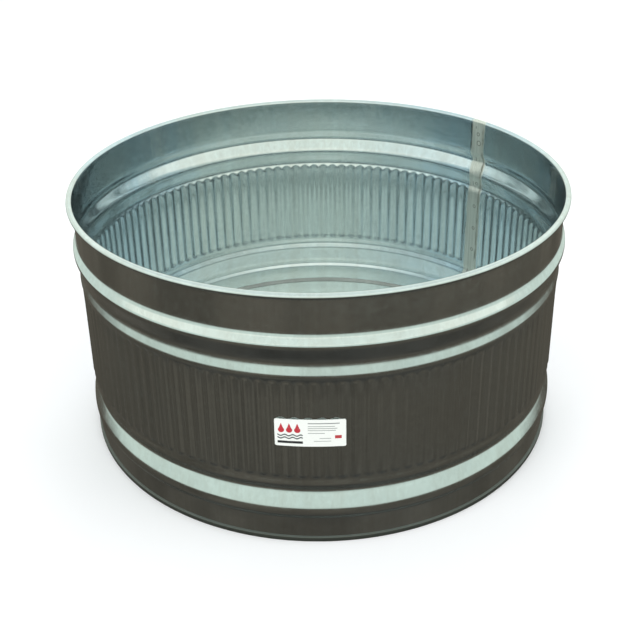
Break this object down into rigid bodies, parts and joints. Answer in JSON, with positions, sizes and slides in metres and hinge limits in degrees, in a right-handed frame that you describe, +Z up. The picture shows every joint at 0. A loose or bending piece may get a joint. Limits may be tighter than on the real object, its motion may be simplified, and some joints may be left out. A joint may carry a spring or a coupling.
{
  "type": "livestock water trough",
  "caption": "Round open-topped galvanised steel stock tank with rolled rim, hoop beads, fluted wall, seamed floor and a screw-in drain plug",
  "frame": {"origin": "on the ground at the middle of the tank", "axes": "+Z up along the tank's axis, label facing -Y, drain outlet towards -X and +Y"},
  "size_m": [1.2188, 1.2188, 0.626],
  "materials": {
    "galvanised_wall": "galvanised, satin",
    "galvanised_floor": "galvanised, satin",
    "galvanised_tube": "mill galvanised",
    "sealant": "grey seam sealant",
    "rubber_seal": "matt black",
    "brass_fitting": "machined, dulled",
    "label_vinyl": "printed vinyl"
  },
  "bodies": {
    "tank": {"wall_sheet": "galvanised_wall", "rim_tube": "galvanised_tube", "floor_pan": "galvanised_floor", "floor_seam_sealant": "sealant", "lap_seam_sealant": "sealant", "drain_spud": "brass_fitting", "drain_gasket_inner": "rubber_seal", "drain_gasket_outer": "rubber_seal", "drain_locknut": "brass_fitting", "label": "label_vinyl"},
    "plug_washer": {"drain_plug_washer": "rubber_seal"},
    "plug": {"drain_plug": "brass_fitting"}
  },
  "joints": [
    {"name": "plug_travel", "type": "slide", "parent": "tank", "child": "plug_washer", "axis": [-0.866, 0.5, 0], "range_m": [0, 0.016]},
    {"name": "plug_turn", "type": "hinge", "parent": "plug_washer", "child": "plug", "pos_m": [-0.52611, 0.30375, 0.0435], "axis": [-0.866, 0.5, 0], "range_deg": [0, 3180]}
  ],
  "couplings": [
    {"joint": "plug_turn", "follows": "plug_travel", "rad_per_m": 3463.2}
  ]
}
